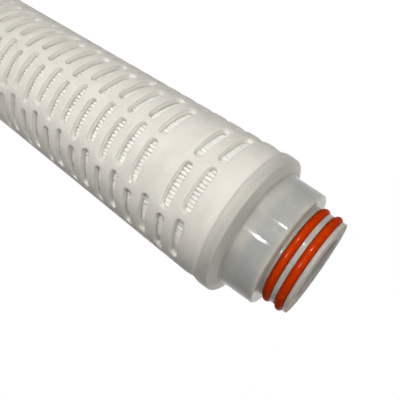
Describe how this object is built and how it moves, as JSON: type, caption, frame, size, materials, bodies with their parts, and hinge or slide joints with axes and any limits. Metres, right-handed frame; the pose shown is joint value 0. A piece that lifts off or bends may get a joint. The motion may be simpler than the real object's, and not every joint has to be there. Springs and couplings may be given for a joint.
{
  "type": "pleated filter cartridge",
  "caption": "Pleated liquid filter cartridge: slotted outer cage over a folded media pack, flat closed end, and a double O-ring outlet spigot with a collar.",
  "frame": {"origin": "middle of the flat closed end, which the cartridge stands on", "axes": "+Z along the cartridge's axis towards the outlet spigot; -Y is the side with the plain panel, seen in the picture"},
  "size_m": [0.0694, 0.0694, 0.276],
  "materials": {
    "cage_plastic": "natural polypropylene, satin",
    "cap_plastic": "natural polypropylene, satin",
    "adapter_plastic": "natural polypropylene, smooth and slightly see-through",
    "core_plastic": "natural polypropylene, satin",
    "silicone": "silicone rubber, orange red",
    "support_fleece": "spunbond fleece",
    "membrane": "smooth porous film"
  },
  "bodies": {
    "root": {"outer_cage": "cage_plastic", "closed_end_cap": "cap_plastic", "open_end_cap": "cap_plastic", "outlet_adapter": "adapter_plastic", "o_ring_tip": "silicone", "o_ring_collar": "silicone", "inner_core": "core_plastic", "upstream_support": "support_fleece", "filter_membrane": "membrane", "downstream_support": "support_fleece"}
  },
  "joints": []
}
